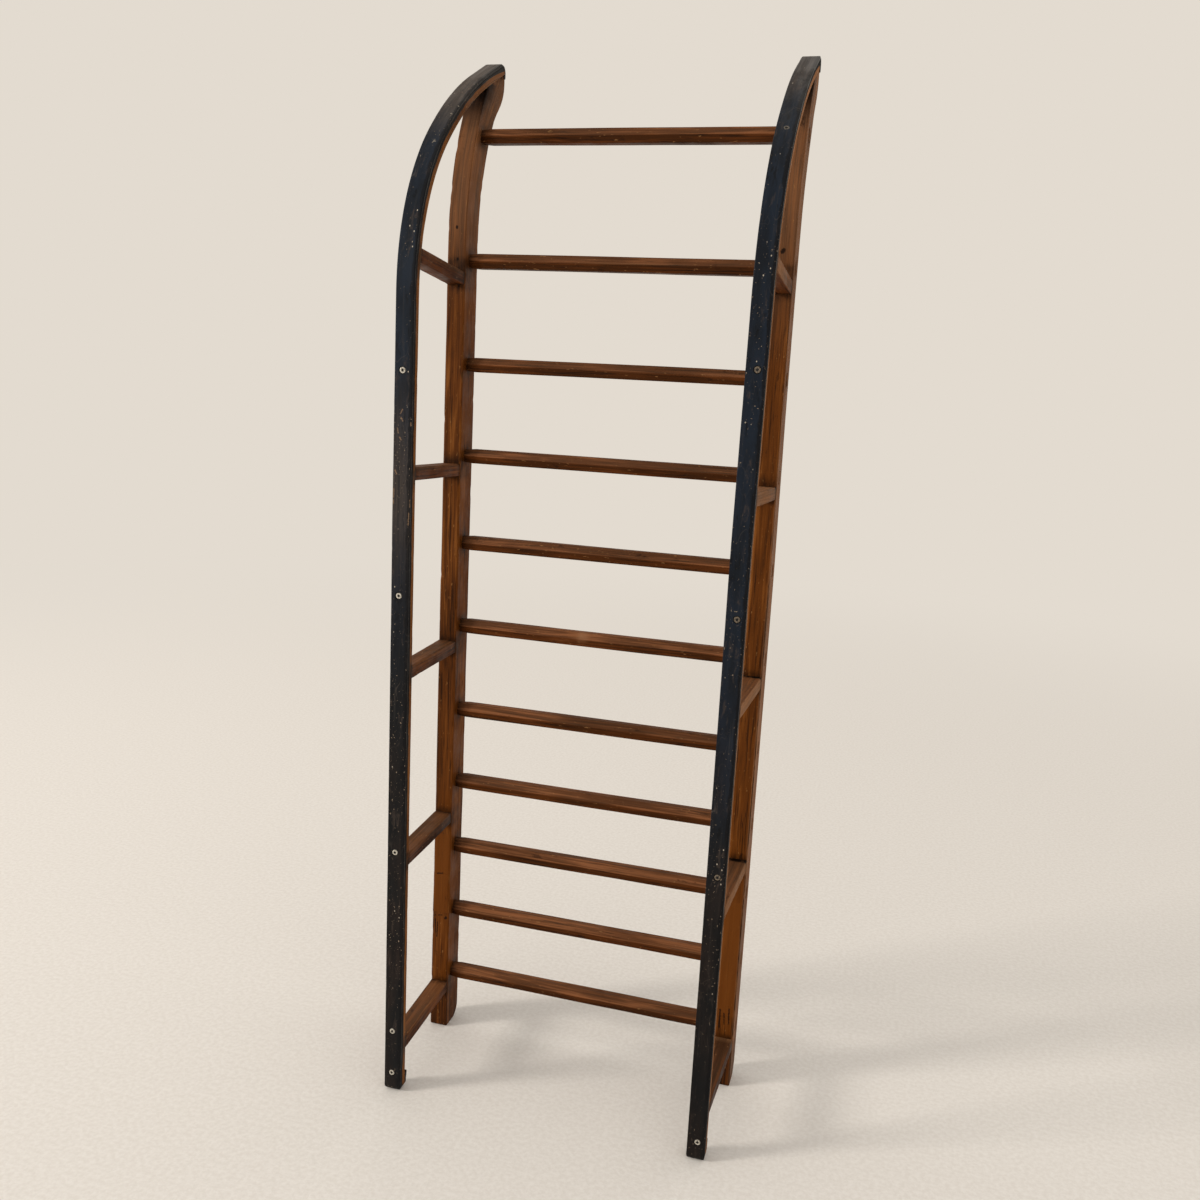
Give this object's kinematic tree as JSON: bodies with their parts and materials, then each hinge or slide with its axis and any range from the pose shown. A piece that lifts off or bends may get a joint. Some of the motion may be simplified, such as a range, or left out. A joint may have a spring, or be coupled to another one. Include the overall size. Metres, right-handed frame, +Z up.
{
  "type": "wooden sled",
  "caption": "Old wooden sled with two long bent runners shod in black iron, a ladder deck of hand-planed rungs between two rails, and square struts, stood on its tails.",
  "frame": {"origin": "on the floor under the middle of the bounding box: midway across the sled and midway between the soles and the backs of the noses", "axes": "+X across the sled, to the right as seen from the soles; +Y from the soles to the deck; +Z up along the sled from the tails to the noses"},
  "size_m": [0.462, 0.28, 1.3959],
  "materials": {
    "iron_shoe": "worn black paint over iron, satin",
    "runner_wood": "old varnish, worn",
    "rail_wood": "old varnish, satin",
    "strut_wood": "old varnish, satin",
    "rung_wood": "old varnish, satin"
  },
  "bodies": {
    "root": {"shoe_left": "iron_shoe", "runner_left": "runner_wood", "rail_left": "rail_wood", "strut_left_1": "strut_wood", "strut_left_2": "strut_wood", "strut_left_3": "strut_wood", "strut_left_4": "strut_wood", "strut_left_5": "strut_wood", "shoe_right": "iron_shoe", "runner_right": "runner_wood", "rail_right": "rail_wood", "strut_right_1": "strut_wood", "strut_right_2": "strut_wood", "strut_right_3": "strut_wood", "strut_right_4": "strut_wood", "strut_right_5": "strut_wood", "rung_01": "rung_wood", "rung_02": "rung_wood", "rung_03": "rung_wood", "rung_04": "rung_wood", "rung_05": "rung_wood", "rung_06": "rung_wood", "rung_07": "rung_wood", "rung_08": "rung_wood", "rung_09": "rung_wood", "rung_10": "rung_wood", "rung_11": "rung_wood"}
  },
  "joints": []
}
